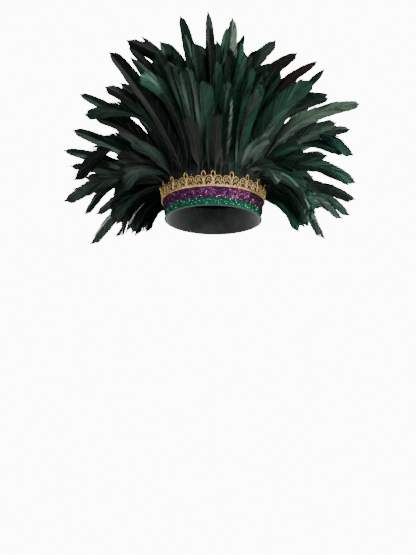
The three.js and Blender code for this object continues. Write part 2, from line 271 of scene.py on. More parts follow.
def paint(tree, geometry, material):
    inputs = {"Geometry": geometry, "Material": material}
    return add_node(tree, "GeometryNodeSetMaterial", inputs)


def join(tree, first, second):
    joined = add_node(tree, "GeometryNodeJoinGeometry", {"Geometry": first})
    tree.links.new(second, joined.node.inputs[0])
    return joined


# %% [markdown]
# The camera stands behind and below, a long way off with a long lens, as the photograph was
# taken. Its aim is well under the ring, so the headdress stands in the upper half of the picture.

# %% Camera at the photograph's angle
CAMERA_AZIMUTH = 6
CAMERA_BELOW = 12.7
CAMERA_DISTANCE = 2.4
CAMERA_SIDEWAYS = -0.0087
CAMERA_DOWN = -0.0952
SENSOR = 36
FOCAL_PIXELS = 1437
PICTURE_HEIGHT = 555
SEEN_AS_FAR_AS = 30


def point_along(thing, direction):
    thing.rotation_mode = "QUATERNION"
    thing.rotation_quaternion = direction.to_track_quat("-Z", "Y")


def make_camera():
    azimuth = math.radians(CAMERA_AZIMUTH)
    rise = math.radians(CAMERA_BELOW)
    ahead = Vector(
        (-math.sin(azimuth) * math.cos(rise), math.cos(azimuth) * math.cos(rise), math.sin(rise))
    )
    right = Vector((math.cos(azimuth), math.sin(azimuth), 0))
    up = right.cross(ahead)
    data = bpy.data.cameras.new("camera")
    data.sensor_width = SENSOR
    data.lens = FOCAL_PIXELS / PICTURE_HEIGHT * SENSOR
    data.clip_end = SEEN_AS_FAR_AS
    camera = add_object("camera", data)
    camera.location = -CAMERA_DISTANCE * ahead + CAMERA_SIDEWAYS * right + CAMERA_DOWN * up
    point_along(camera, ahead)
    bpy.context.scene.camera = camera
    print("camera at", camera.location, "lens", round(data.lens, 1))


make_camera()

# %% [markdown]
# Soft studio light: a dim pale room all round, and six large soft lamps. Four stand on the
# camera's side, one of them high, one in front and two to the right, and two stand far round at
# the other side, to draw the feathers' edges. The backdrop is white, so the camera sees a bright
# room, while the object is lit by a dimmer one. Dark feathers show almost only what they reflect,
# so large lamps matter more than bright ones.

# %% Light, room and floor
ROOM_COLOUR = "#f7f7f5"
ROOM_STRENGTH = 0.4
BACKDROP_STRENGTH = 13.0
FLOOR_COLOUR = "#f2f1ee"
FLOOR_HEIGHT = -1.25
FLOOR_REACH = 9
FLOOR_GLOW = 0.18  # a little light of its own, as if there were lamps outside the picture
LAMPS_AIM_AT = (0, 0, 0.12)
# Columns: name, place in metres, size in metres, power in watts.
LAMPS = [
    ("key_lamp", (0.9, -1.9, 1.9), 0.9, 60),
    ("front_lamp", (-1.7, -1.6, -0.6), 0.6, 44),
    ("low_lamp", (2.0, -1.4, -0.4), 0.8, 42),
    ("side_lamp", (2.2, -0.7, 0.9), 1.0, 84),
    ("far_left_lamp", (-1.8, 1.5, 1.2), 1.2, 55),
    ("far_right_lamp", (1.2, 2.2, 1.0), 1.2, 55),
]


def make_light():
    world = bpy.data.worlds.new("room")
    bpy.context.scene.world = world
    world.use_nodes = True
    tree = world.node_tree
    background = tree.nodes["Background"]
    background.inputs["Color"].default_value = linear(ROOM_COLOUR)
    seen = add_node(tree, "ShaderNodeLightPath", output="Is Camera Ray")
    range_of_light = {"Value": seen, "To Min": ROOM_STRENGTH, "To Max": BACKDROP_STRENGTH}
    strength = add_node(tree, "ShaderNodeMapRange", range_of_light)
    tree.links.new(strength, background.inputs["Strength"])
    for name, place, size, power in LAMPS:
        data = bpy.data.lights.new(name, "AREA")
        data.size = size
        data.energy = power
        lamp = add_object(name, data)
        lamp.location = place
        point_along(lamp, Vector(LAMPS_AIM_AT) - lamp.location)
    print(len(LAMPS), "lamps")


make_light()

# %% [markdown]
# Materials start as a Principled shader with the real thing's typical values. Patterns read
# Object coordinates, which are in metres, so a scale is one over the real size of a grain. Most
# of the materials here are one colour that changes softly, with a finer grain as bump, so one
# function makes them. A grain is given as its size in millimetres and its detail.

# %% Start a material


def new_material(name, roughness, **settings):
    """A material with a Principled shader. Settings are socket names with _ for a space."""
    material = bpy.data.materials.new(name)
    material.use_nodes = True
    tree = material.node_tree
    shader = tree.nodes["Principled BSDF"]
    shader.inputs["Roughness"].default_value = roughness
    for key, value in settings.items():
        shader.inputs[key.replace("_", " ")].default_value = value
    return material, tree, shader


def make_floor():
    corners = [(-1, -1), (1, -1), (1, 1), (-1, 1)]
    points = [(x * FLOOR_REACH, y * FLOOR_REACH, FLOOR_HEIGHT) for x, y in corners]
    floor = helper_object("floor", points, (), [(0, 1, 2, 3)])
    colour = linear(FLOOR_COLOUR)
    glow = {"Base_Color": colour, "Emission_Color": colour, "Emission_Strength": FLOOR_GLOW}
    floor.data.materials.append(new_material("matt_white_floor_paint", 0.8, **glow)[0])
    floor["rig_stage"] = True


make_floor()


def grain(tree, size_mm, detail):
    """Soft noise whose grains are about this size."""
    place = add_node(tree, "ShaderNodeTexCoord", output="Object")
    inputs = {"Vector": place, "Scale": 1 / (size_mm * MM), "Detail": detail}
    return add_node(tree, "ShaderNodeTexNoise", inputs, output="Fac")


def ramp(tree, value, stops):
    """Colours along a value, given as {position: hex colour}."""
    colour = add_node(tree, "ShaderNodeValToRGB", {"Fac": value}, output="Color")
    elements = colour.node.color_ramp.elements
    for element, (position, hex_colour) in zip(elements, list(stops.items())[:2]):
        element.position = position
        element.color = linear(hex_colour)
    for position, hex_colour in list(stops.items())[2:]:
        elements.new(position).color = linear(hex_colour)
    return colour


def worked_material(name, roughness, patch, stops, bump_grain=None, bump=(0, 0), **settings):
    """A material in soft patches of colour. The bump is its strength and its depth in mm."""
    material, tree, shader = new_material(name, roughness, **settings)
    tree.links.new(ramp(tree, grain(tree, *patch), stops), shader.inputs["Base Color"])
    if bump_grain:
        inputs = {"Height": grain(tree, *bump_grain), "Strength": bump[0], "Distance": bump[1] * MM}
        normal = add_node(tree, "ShaderNodeBump", inputs, output="Normal")
        tree.links.new(normal, shader.inputs["Normal"])
    return material


def attribute(tree, name, output="Fac"):
    return add_node(tree, "ShaderNodeAttribute", output=output, attribute_name=name)


# %% [markdown]
# The base is stiffened wool felt. It shows inside the ring and as a thin dark rim, so it is
# a smooth ring with rounded edges. Felt is matt, with a fuzz of short fibres, so it gets sheen, a
# fine fibre grain and slow patches.

# %% Dark felt
# Slow grey patches, a fuzz that lights up at grazing angles, and a fine rough grain.
FELT = worked_material(
    "wool_felt", 0.95, (14, 4), {0.35: "#0c100f", 0.7: "#1d2321"}, (0.5, 6), (0.7, 0.25),
    Sheen_Weight=0.35, Specular_IOR_Level=0.2,
)

# %% [markdown]
# Each band is a section swept round the ring. The section is a closed list of corners, offset
# and height, and may change on the way round.

# %% Sweep a section round the ring


def make_ring(name, section_at, steps=RING_STEPS, closed=True):
    """A band from a function that gives its section's corners at an angle."""
    points = []
    faces = []
    corners = len(section_at(0))
    for step in range(steps):
        angle = 360 * step / steps
        points += [ring_point(offset, angle, height) * MM for offset, height in section_at(angle)]
        here = step * corners
        after = (step + 1) % steps * corners
        for corner in range(corners if closed else corners - 1):
            turned = (corner + 1) % corners
            faces.append((here + corner, after + corner, after + turned, here + turned))
    made = helper_object(name, points, (), faces)
    if closed:
        made.data.shade_smooth()
        print(name, triangle_count(made.data), "triangles")
    return made


def rounded_strip(inner, thick, low, high, cuts=4):
    """The section of a leaning strip whose top and bottom edges are rounded over."""
    middle = inner + thick / 2
    corners = []
    for start, centre in ((180, low + thick / 2), (0, high - thick / 2)):
        for cut in range(cuts + 1):
            turn = math.radians(start + 180 * cut / cuts)
            height = centre + thick / 2 * math.sin(turn)
            corners.append((middle + BAND_FLARE * height + thick / 2 * math.cos(turn), height))
    return corners


# %% The base band
BASE_THICK = 1.6
BASE_HEIGHT = 47

felt = make_ring("base_band_felt", lambda angle: rounded_strip(0, BASE_THICK, 0, BASE_HEIGHT))
finish_piece(felt, ["base_band"], FELT)

# %% [markdown]
# The green band is cloth with glitter glued on, turned over a cord at its foot to make a smooth
# piped hem. The cloth is a plain backing, and the glitter is real flakes that each catch the
# light, because painted sparkle stays still when the view turns. The flakes' colours add painted
# sparkle and painted shade on top: lighter and darker copies of the same green film.

# %% Green cloth and its piped hem
PIECE_GAP = 0.3
GREEN_INNER = BASE_THICK + PIECE_GAP
GREEN_THICK = 1.0
GREEN_HEIGHT = 34
HEM_RADIUS = 1.35
HEM_SIDES = 16
HEM_SQUASH = 2.8 / 3  # the piping is pressed a little flat


def green_cloth_section(angle):
    return rounded_strip(GREEN_INNER, GREEN_THICK, 2 * HEM_RADIUS, GREEN_HEIGHT)


def hem_section(angle):
    centre = GREEN_INNER + HEM_RADIUS
    turns = [math.radians(360 * side / HEM_SIDES) for side in range(HEM_SIDES)]
    return [
        (centre + HEM_RADIUS * math.cos(turn), HEM_RADIUS * (1 + math.sin(turn)) * HEM_SQUASH)
        for turn in turns
    ]


# Cloth soaked in dark green glue: nearly matt, so that the flakes on it stand out.
GLITTER_BACKING = worked_material(
    "glitter_cloth_backing", 0.8, (0.9, 3), {0.35: "#042218", 0.65: "#093b2a"}, (0.8, 3),
    (0.6, 0.2), Specular_IOR_Level=0.1,
)
# Coated cloth pulled tight over a cord: smooth, so it carries one long highlight.
PIPING = worked_material(
    "coated_piping", 0.5, (9, 3), {0.3: "#063629", 0.7: "#094735"}, (1.6, 2), (0.15, 0.2),
    Specular_IOR_Level=0.15,
)

green_cloth = make_ring("green_cloth", green_cloth_section)
finish_piece(green_cloth, ["green_band"], GLITTER_BACKING)
green_hem = make_ring("green_hem", hem_section)
finish_piece(green_hem, ["green_band"], PIPING)

# %% [markdown]
# Glitter and sequins are the same job: thousands of small flakes strewn over a band, each
# tilted a little. One tree does both. It spreads points with a least distance between them, puts
# a flake on each, tilts it at random, and gives it a random number that the material turns into
# a colour. A flake is a flat lens with a few sides, which is closed and costs a dozen faces.

# %% A tree that strews flakes
TURN = 2 * math.pi
FLAKE_RISE = 0.12  # half the thickness of a flake in its middle, as a share of its radius
CROWDED = 1e7  # so many points a square metre that only the least distance limits them
SIZE_SEED = 7
GLINT_SEED = 11


def make_flake(name, sides):
    rim = [(math.cos(TURN * s / sides), math.sin(TURN * s / sides), 0) for s in range(sides)]
    faces = [(s, (s + 1) % sides, sides) for s in range(sides)]
    faces += [((s + 1) % sides, s, sides + 1) for s in range(sides)]
    flake = helper_object(name, rim + [(0, 0, FLAKE_RISE), (0, 0, -FLAKE_RISE)], (), faces)
    flake.hide_render = True
    return flake


def make_strewing_tree():
    tree, given = new_tree(
        "strew_flakes",
        object=["Flake"],
        float=["Distance", "Smallest", "Largest", "Tilt"],
        int=["Seed"],
        material=["Material"],
    )
    inputs = {
        "Mesh": given["Geometry"],
        "Distance Min": given["Distance"],
        "Density Max": CROWDED,
        "Seed": given["Seed"],
    }
    options = {"output": "Points", "distribute_method": "POISSON"}
    spread = add_node(tree, "GeometryNodeDistributePointsOnFaces", inputs, **options)
    facing = socket_of(spread.node.outputs, "Rotation")
    tilt, back = given["Tilt"], math_node(tree, "MULTIPLY", given["Tilt"], -1.0)
    low = add_node(tree, "ShaderNodeCombineXYZ", {"X": back, "Y": back, "Z": -math.pi})
    high = add_node(tree, "ShaderNodeCombineXYZ", {"X": tilt, "Y": tilt, "Z": math.pi})
    tilts = random_value(tree, low, high, given["Seed"], kind="FLOAT_VECTOR")
    tilting = add_node(tree, "FunctionNodeEulerToRotation", {"Euler": tilts})
    inputs = {"Rotation": facing, "Rotate By": tilting}
    turned = add_node(tree, "FunctionNodeRotateRotation", inputs, rotation_space="LOCAL")
    size = random_value(tree, given["Smallest"], given["Largest"], SIZE_SEED)
    flakes = put_copies(tree, spread, given["Flake"], turned, size, "glint", GLINT_SEED)
    end_tree(tree, paint(tree, flakes, given["Material"]))
    return tree


SEQUIN = make_flake("sequin", 6)
SQUARE_FLAKE = make_flake("square_flake", 4)
STREWING = make_strewing_tree()


def flake_material(name, roughness, stops):
    """Metallised film: each flake is one colour from the list, and reflects like a mirror. The list
    paints lighter flakes as sparkle and darker ones as shade.
    """
    material, tree, shader = new_material(name, roughness, Metallic=0.95)
    colour = ramp(tree, attribute(tree, "glint"), stops)
    colour.node.color_ramp.interpolation = "CONSTANT"
    tree.links.new(colour, shader.inputs["Base Color"])
    return material


def open_face(name, offset, low_at, high):
    """The outer face of a band alone, as the ground that flakes are strewn on."""

    def section(angle):
        return [(offset + BAND_FLARE * height, height) for height in (low_at(angle), high)]

    return make_ring(name, section, closed=False)


def strew(name, face, flake, material, tilt, seed, **sizes):
    """Flakes on a face. The distance and the sizes are in millimetres, the tilt in radians."""
    settings = {key.title(): size * MM for key, size in sizes.items()}
    settings |= {"Flake": flake, "Tilt": tilt, "Seed": seed, "Material": material}
    return grow(name, face, STREWING, settings)


# %% Green glitter
GLITTER_LOW = 2.2
GLITTER_HIGH = 16  # above this the purple trim covers the cloth
# Flake colours: the green film, painted lighter as sparkle and glints and darker as shade.
GREEN_FILM_PAINTED_GLINTS = {
    0.0: "#021710", 0.3: "#052e20", 0.6: "#094f37", 0.8: "#158060", 0.92: "#5ccda0",
    0.97: "#dcffee",
}
green_face = open_face(
    "green_face", GREEN_INNER + GREEN_THICK, lambda angle: GLITTER_LOW, GLITTER_HIGH
)
# Mostly deep green, so that the band reads dark. Lighter and darker flakes are painted sparkle
# and shade, and the few nearly white ones are painted glints.
GREEN_FILM = flake_material("green_glitter_film", 0.25, GREEN_FILM_PAINTED_GLINTS)
green_glitter = strew(
    "green_glitter", green_face, SQUARE_FLAKE, GREEN_FILM,
    distance=0.54, smallest=0.28, largest=0.62, tilt=0.75, seed=3,
)
finish_piece(green_glitter, ["green_band"])

# %% [markdown]
# The purple trim is a strip of small overlapping sequins. Their colour swings from violet to
# magenta, with painted shade on the darkest and a few orange, pink and blue painted glints and
# reflections, and between them the dark backing shows. The lower edge is ragged, so the strip's
# foot follows the same two waves as its solid.

# %% Purple sequin trim
PURPLE_INNER = GREEN_INNER + GREEN_THICK + PIECE_GAP
PURPLE_THICK = 1.2
PURPLE_LOW = 13.5
PURPLE_HIGH = 31.5
PURPLE_RAG = 1.3
RAG_WAVES = [(7, 0), (17, 40)]  # waves in one turn of the ring, and where they begin
BACKING_THICK = 0.9
BACKING_UP = 0.6  # the backing's foot is this far above the ends of the sequins
FOOT_STEP = 2.5  # degrees between one notch of the ragged foot and the next
FOOT_NOTCH = 0.9
FIRST_NOTCH = 70  # where the notches begin in the uneven numbers
# Sequin colours: violet film with painted sparkle, painted shade and painted reflections.
PURPLE_FILM_PAINTED_GLINTS = {
    0.0: "#0d030a", 0.3: "#2c0d28", 0.5: "#46173e", 0.66: "#642258", 0.78: "#86326c",
    0.85: "#3a2a5c", 0.89: "#a85a46", 0.94: "#c088ae", 0.975: "#1c6468",
}


def purple_foot(angle):
    waves = [math.sin(math.radians(angle * count + start)) for count, start in RAG_WAVES]
    notch = math.floor(angle / FOOT_STEP)
    return PURPLE_LOW + PURPLE_RAG * sum(waves) / 2 + FOOT_NOTCH * uneven(notch + FIRST_NOTCH)


def purple_backing_section(angle):
    foot = purple_foot(angle) + BACKING_UP
    return rounded_strip(PURPLE_INNER, BACKING_THICK, foot, PURPLE_HIGH)


# Matt net in the sequins' own colour, so that the gaps between them look deep.
NET = worked_material(
    "dark_net_backing", 0.8, (1.2, 3), {0.3: "#190720", 0.7: "#421a4d"}, (0.8, 2), (0.5, 0.2),
    Specular_IOR_Level=0.1,
)
purple_backing = make_ring("purple_backing", purple_backing_section)
finish_piece(purple_backing, ["purple_band"], NET)
purple_face = open_face("purple_face", PURPLE_INNER + PURPLE_THICK, purple_foot, PURPLE_HIGH)
# Violet film in lighter and darker copies, painted sparkle and shade, with a few orange, pink
# and blue sequins as painted reflections.
VIOLET_FILM = flake_material("violet_sequin_film", 0.22, PURPLE_FILM_PAINTED_GLINTS)
purple_sequins = strew(
    "purple_sequins", purple_face, SEQUIN, VIOLET_FILM,
    distance=0.92, smallest=0.45, largest=0.8, tilt=0.55, seed=5,
)
finish_piece(purple_sequins, ["purple_band"])

# %% [markdown]
# The lace is cords of metallic yarn. Each motif is drawn flat, as a few lines through listed
# points: a spear with an inner loop between two round petals, over a smooth rope. The flat
# lines are wound round the ring, and a tree sweeps a round cord along each of them. At the back
# the two ends of the lace meet, so the first motif has no left petal there.

# %% The lace's lines, flat
LACE_LOW = 30
LACE_LEAN = 0.19
LACE_EASE = 0.2
LACE_INNER = PURPLE_INNER + PURPLE_THICK + PIECE_GAP + LACE_EASE + BAND_FLARE * PURPLE_HIGH
LACE_DEPTH = 0.7  # middle of the cords, outwards from the inside of the lace
MOTIF_COUNT = 20
JOIN_ANGLE = 1.5
ARC_STEPS = 720
ARC_HEIGHT = 10.4
ROPE_STEPS = 360
PETAL_LIFT = 0.15  # the petals lie a little in front of the spear
CORD_UNEVEN = 0.4
MOTIF_NUMBERS = 40  # each motif has this many numbers of its own for its cords' unevenness
MOTIFS_ROUND = MOTIF_COUNT - 0.5  # at the join half a motif is missing
# Two cords run all the way round. Columns: height, radius, depth.
ROPES = [(1.5, 1.3, 1.4), (3.4, 0.5, 0.9)]
# Columns: cord radius, whether it is closed, then its points across and up, in millimetres.
MIDDLE_CORDS = [
    (0.62, True, [(0, 25.3), (2.3, 22.6), (3.1, 19.6), (2.2, 16.4),
                  (0, 14.6), (-2.2, 16.4), (-3.1, 19.6), (-2.3, 22.6)]),
    (0.7, False, [(0, 14.4), (0, 9), (0, 3.4)]),
    (0.45, False, [(-1.9, 3.4), (-1.1, 8), (0, 12.6), (1.1, 8), (1.9, 3.4)]),
]
PETAL_CORDS = [
    (0.62, False, [(0.8, 9.6), (2.8, 13.8), (5.8, 17), (9.3, 17.9),
                   (12.4, 16), (13.8, 12.4), (13.2, 9.8)]),
    (0.5, False, [(6.4, 10), (6.2, 12.4), (7.6, 14.3), (9.8, 13.8), (10.2, 11.9), (8.6, 11.3)]),
    (0.55, False, [(1.6, 4.6), (3.4, 8.4), (7, 9.9), (10.6, 8.8), (12.3, 4)]),
    (0.5, True, [(7.6, 4.1), (6.8, 4.8), (7.3, 5.8), (8.3, 5.5), (8.4, 4.5)]),
    (0.5, False, [(12.3, 4), (12.9, 7.4), (13.8, 9.4), (15.2, 10)]),
    (0.42, False, [(14.2, 4), (14.6, 5.6), (15.2, 6.2)]),
]

LACE_MIDDLE = LACE_INNER + LACE_LEAN * ARC_HEIGHT
ring_line = [ring_point(LACE_MIDDLE, 360 * step / ARC_STEPS, 0) for step in range(ARC_STEPS + 1)]
arc_lengths = np.concatenate(
    [[0], np.cumsum([np.linalg.norm(b - a) for a, b in zip(ring_line, ring_line[1:])])]
)
RING_LENGTH = arc_lengths[-1]
MOTIF_PITCH = RING_LENGTH / MOTIFS_ROUND
print("lace length", round(RING_LENGTH), "mm, one motif", round(MOTIF_PITCH, 1), "mm")


def angle_along(length):
    return np.interp(length % RING_LENGTH, arc_lengths, np.linspace(0, 360, ARC_STEPS + 1))


def wound(across, up, depth):
    """A point of the flat lace, wound round the ring."""
    offset = LACE_INNER + LACE_LEAN * up + depth
    return ring_point(offset, angle_along(across), LACE_LOW + up) * MM


# %% Wind the lines round the ring
CORD_STEP = 0.9  # length of one straight piece of cord, in millimetres


def smooth_line(points, closed):
    """A smooth line through the points, cut into short pieces."""
    points = np.array(points, float)
    count = len(points)
    line = []
    spans = count if closed else count - 1
    for span in range(spans):
        four = [points[(span + k) % count] if closed else points[min(max(span + k, 0), count - 1)]
                for k in (-1, 0, 1, 2)]
        pieces = max(2, round(np.linalg.norm(four[2] - four[1]) / CORD_STEP))
        for share in np.arange(pieces) / pieces:
            before = -share + 2 * share**2 - share**3
            start = 2 - 5 * share**2 + 3 * share**3
            end = share + 4 * share**2 - 3 * share**3
            after = share**3 - share**2
            line.append((before * four[0] + start * four[1] + end * four[2] + after * four[3]) / 2)
    if not closed:
        line.append(points[-1])
    return line


def wound_cord(radius, closed, line, depth):
    return radius, closed, [wound(across, up, depth) for across, up in line]


def lace_cords():
    cords = []
    first = JOIN_ANGLE / 360 * RING_LENGTH + MOTIF_PITCH / 4
    for motif in range(MOTIF_COUNT):
        middle = first + MOTIF_PITCH * motif
        wanted = [(row, 1, 0.0) for row in MIDDLE_CORDS]
        wanted += [(row, side, PETAL_LIFT) for row in PETAL_CORDS for side in (1, -1)
                   if motif > 0 or side == 1]
        for number, ((radius, closed, points), side, lift) in enumerate(wanted):
            line = [(middle + side * x, y) for x, y in smooth_line(points, closed)]
            depth = LACE_DEPTH + lift + CORD_UNEVEN * uneven(motif * MOTIF_NUMBERS + number)
            cords.append(wound_cord(radius, closed, line, depth))
    for up, radius, depth in ROPES:
        line = [(RING_LENGTH * step / ROPE_STEPS, up) for step in range(ROPE_STEPS)]
        cords.append(wound_cord(radius, True, line, depth))
    return cords


def cords_object(name, cords):
    """An object of bare lines that holds each cord's radius."""
    points = []
    edges = []
    radii = []
    for radius, closed, line in cords:
        start = len(points)
        points += line
        radii += [radius * MM] * len(line)
        edges += [(start + i, start + i + 1) for i in range(len(line) - 1)]
        if closed:
            edges.append((len(points) - 1, start))
    made = helper_object(name, points, edges)
    store(made, "cord_radius", radii)
    return made


# %% A tree that sweeps cords


def make_cord_tree():
    tree, given = new_tree("sweep_cords", int=["Sides"], material=["Material"])
    lines = add_node(tree, "GeometryNodeMeshToCurve", {"Mesh": given["Geometry"]})
    cords = sweep(tree, lines, read(tree, "cord_radius"), given["Sides"])
    smooth = add_node(tree, "GeometryNodeSetShadeSmooth", {0: cords})
    end_tree(tree, paint(tree, smooth, given["Material"]))
    return tree


# Metallic yarn: flat gold foil wound on a thread. Its gold is painted lighter and darker in small
# patches: the near-white ones are painted glints and the dark brown ones painted shade.
YARN_GOLD_PAINTED_GLINTS = {0.36: "#5e421c", 0.52: "#bb9c62", 0.64: "#dcc288", 0.77: "#fff0c8"}
YARN = worked_material(
    "metallic_gold_yarn", 0.3, (2.2, 4), YARN_GOLD_PAINTED_GLINTS, (0.7, 2), (1.0, 0.4), Metallic=0.9
)
CORD_SIDES = 6
CORDS = make_cord_tree()
lace_lines = cords_object("lace_lines", lace_cords())
gold_cords = grow("gold_cords", lace_lines, CORDS, {"Sides": CORD_SIDES, "Material": YARN})
finish_piece(gold_cords, ["gold_lace"])

# %% [markdown]
# A cock's tail feather is a tapered shaft with barbs on both sides. The barbs leave the shaft at
# about forty-five degrees near the root and lean forward towards the tip. They cling together in
# clumps, and a clump that has come apart from the next leaves a notch in the edge. So a feather
# is made as it grows: a shaft line, points along it, and a thin strip for each barb.

# %% The feathers' places and shapes
TAPE_THICK = 0.9
TAPE_LOW = 37
TAPE_HIGH = 49
QUILL_FOOT = 40
QUILL_TOP = 61
EXIT_SHIFT = 0.25
EXIT_UNEVEN = 3
FACING_TURN = 55
FACING_SPREAD = 22
SHAFT_BEND = 0.45
SIDE_FROM = 88  # from here to SIDE_TO, low at the sides, every face points to the same side:
SIDE_TO = 132
SIDE_FACING = 36  # this far round from straight back
TWIST_END = 0.22  # share of the shaft over which a vane turns from the ring's own direction
# Columns: inside of the tape, where the quills stand at the top of the lace, spread of the tips.
ROWS = {
    "inner": (BASE_THICK + PIECE_GAP, 4.8, 0.35),
    "middle": (BASE_THICK + TAPE_THICK + 2 * PIECE_GAP, 7.6, 0.9),
    "outer": (BASE_THICK + 2 * TAPE_THICK + 3 * PIECE_GAP, 10.3, 1.15),
}
# Each tint is the colour of the vane where it faces the light: partly the feathers' own colours,
# and partly painted sheen, since grey, pale and bright are lit copies of the dark green.
TINTS = {
    "black": "#0c150f", "dark": "#11251b", "green": "#1a392b", "bright": "#204738",
    "teal": "#14362f", "grey": "#324239", "pale": "#506355", "brown": "#211c16",
}
WIDER = 1.25  # a barb's end bends forward, so it is drawn longer than the vane is wide
# Columns: root angle, tip x, tip z, arch, width, tint.
INNER_FEATHERS = [
    (4, 5, 312, 25, 20, "grey"),
    (14, 10, 278, 25, 16, "black"),
    (6, -40, 307, 2, 24, "dark"),
    (-8, -125, 272, 60, 30, "black"),
    (-29, -103, 282, 45, 18, "black"),
    (-12, -72, 266, 30, 28, "dark"),
    (17, 44, 302, 5, 24, "pale"),
    (30, 60, 277, 60, 20, "dark"),
    (38, 110, 271, 50, 27, "grey"),
    (24, 104, 226, 60, 20, "dark"),
    (30, 84, 252, 40, 26, "dark"),
    (42, 100, 226, 70, 26, "bright"),
    (57, 143, 261, 55, 26, "brown"),
    (14, -14, 261, 35, 28, "dark"),
]
MIDDLE_FEATHERS = [
    (-38, -118, 248, 45, 18, "black"),
    (-22, -110, 221, 30, 18, "dark"),
    (-30, -148, 236, 12, 26, "black"),
    (-26, -96, 194, 46, 30, "green"),
    (-42, -157, 188, 30, 24, "black"),
    (-59, -207, 193, 20, 20, "dark"),
    (-58, -181, 152, 20, 22, "black"),
    (-68, -223, 141, 8, 22, "dark"),
    (54, 176, 229, 45, 20, "brown"),
    (62, 151, 226, 15, 20, "dark"),
    (56, 188, 216, 15, 18, "dark"),
    (60, 192, 180, 55, 20, "green"),
    (68, 193, 182, 40, 20, "grey"),
    (90, 165, 197, 10, 20, "grey"),
    (2, 3, 171, 14, 26, "green"),
]
OUTER_FEATHERS = [
    (-51, -190, 145, 55, 26, "dark"),
    (-76, -190, 129, 25, 22, "dark"),
    (-75, -185, 114, 20, 20, "black"),
    (-88, -234, 78, 70, 30, "black"),
    (-96, -258, 138, 10, 20, "dark"),
    (-107, -255, 123, 10, 20, "dark"),
    (-112, -233, 107, 10, 22, "dark"),
    (-76, -240, 28, 20, 26, "grey"),
    (-79, -208, 9, 30, 20, "dark"),
    (-108, -209, 38, 20, 20, "black"),
    (-113, -222, -10, 25, 26, "grey"),
    (-116, -180, 5, 15, 24, "dark"),
    (-128, -148, 22, 10, 20, "dark"),
    (50, 170, 182, 25, 30, "green"),
    (62, 243, 159, 35, 24, "pale"),
    (76, 233, 92, 65, 26, "teal"),
    (78, 218, 97, 40, 20, "green"),
    (70, 205, 137, 15, 22, "grey"),
    (76, 227, 134, 25, 20, "grey"),
    (87, 197, 136, 12, 24, "pale"),
    (89, 189, 106, 12, 22, "dark"),
    (73, 235, 42, 25, 26, "green"),
    (80, 233, 21, 12, 22, "grey"),
    (108, 225, 24, 25, 22, "green"),
    (106, 212, 17, 20, 20, "grey"),
    (98, 178, 28, 8, 24, "green"),
    (118, 182, -6, 25, 24, "grey"),
    (127, 144, 24, 12, 22, "grey"),
]
MEASURED = {"inner": INNER_FEATHERS, "middle": MIDDLE_FEATHERS, "outer": OUTER_FEATHERS}

# %% [markdown]
# Plain feathers fill each row, by rule: how far they reach and how high they stand at the sides,
# and the same at the back and front. The first two runs of each row are the ones in the solids.
# The runs after them are feathers that only the picture needs, in between.

# %% Plain feathers that fill the rows
# Columns: reach and height at the sides, reach and height at the back and front.
FILL_SHAPE = {"inner": (54, 205, 36, 252), "middle": (82, 145, 58, 195), "outer": (78, 75, 74, 120)}
# Columns: first angle, last angle, count, seed, height above the rule, how uneven the tips are,
# share of the reach, arch as a share of the length.
FILL_RUNS = {
    "inner": [
        (0, 360, 11, 41, 0, 14, 1, 0.1),
        (120, 240, 5, 2501, 0, 14, 1, 0.1),
        (-64, 64, 14, 900, -8, 20, 1, 0.12),
        (60, 300, 14, 930, 0, 22, 1, 0.12),
        (145, 215, 16, 955, -20, 22, 1, 0.1),
    ],
    "middle": [
        (0, 360, 13, 1241, 0, 14, 1, 0.1),
        (110, 250, 6, 2521, 0, 14, 1, 0.1),
        (-78, 78, 18, 960, 58, 26, 0.9, 0.16),
        (75, 285, 14, 990, 0, 20, 1, 0.12),
    ],
    "outer": [
        (0, 360, 13, 1701, 0, 14, 1, 0.1),
        (130, 230, 4, 2501, 0, 14, 1, 0.1),
        (-68, 68, 18, 1020, 112, 28, 0.75, 0.14),
        (-60, 60, 9, 1040, 85, 30, 0.8, 0.13),
        (60, 300, 14, 1050, 0, 20, 1, 0.15),
    ],
}
# The low side feathers come in pairs of runs, right and left. Columns as before, for the right.
LOW_SIDE_RUNS = [
    (50, 140, 10, 1070, -40, 20, 1, 0.16),
    (46, 124, 10, 1110, -64, 14, 1, 0.2),
    (76, 126, 6, 1150, -58, 10, 1.05, 0.16),
    (98, 130, 4, 1190, -66, 8, 0.95, 0.14),
    (70, 128, 7, 1230, -78, 8, 0.9, 0.16),
]
SEED_STEP = 20
for first, last, count, seed, *shape in LOW_SIDE_RUNS:
    FILL_RUNS["outer"].append((first, last, count, seed, *shape))
    FILL_RUNS["outer"].append((-last, -first, count, seed + SEED_STEP, *shape))
FILL_WIDTH = 20
FILL_SHIFT = 6
SOLID_RUNS = 2
EXTRA_TURN = 78  # the extra feathers turn their faces a little more towards the back
Feather = namedtuple("Feather", "row number angle exit tip arch width tint turn")
SIDE_SHARE = 1.5  # the larger, the smaller the middle, where the middle list of tints is used
# Tints of the left, the middle and the right. Each list is gone through again and again. The
# left list is darker, painted shade on the side away from the light, and the right list lighter,
# painted sheen on the lit side.
FILL_TINTS = [
    ["dark", "black", "dark", "black"],
    ["dark", "green", "dark", "black", "green", "dark"],
    ["green", "grey", "green", "bright", "grey", "green", "dark"],
]


def quill_exit(row, angle, number):
    offset = ROWS[row][1] + EXIT_SHIFT * uneven(number + 0.2)
    return ring_point(offset, angle, QUILL_TOP + EXIT_UNEVEN * uneven(number + 0.7))


def measured_feather(row, number):
    angle, tip_x, tip_z, arch, width, tint = MEASURED[row][number]
    start = quill_exit(row, angle, number)
    tip = np.array([tip_x, start[1] * (1 + ROWS[row][2]), tip_z])
    return Feather(row, number, angle, start, tip, arch, width, tint, FACING_TURN)


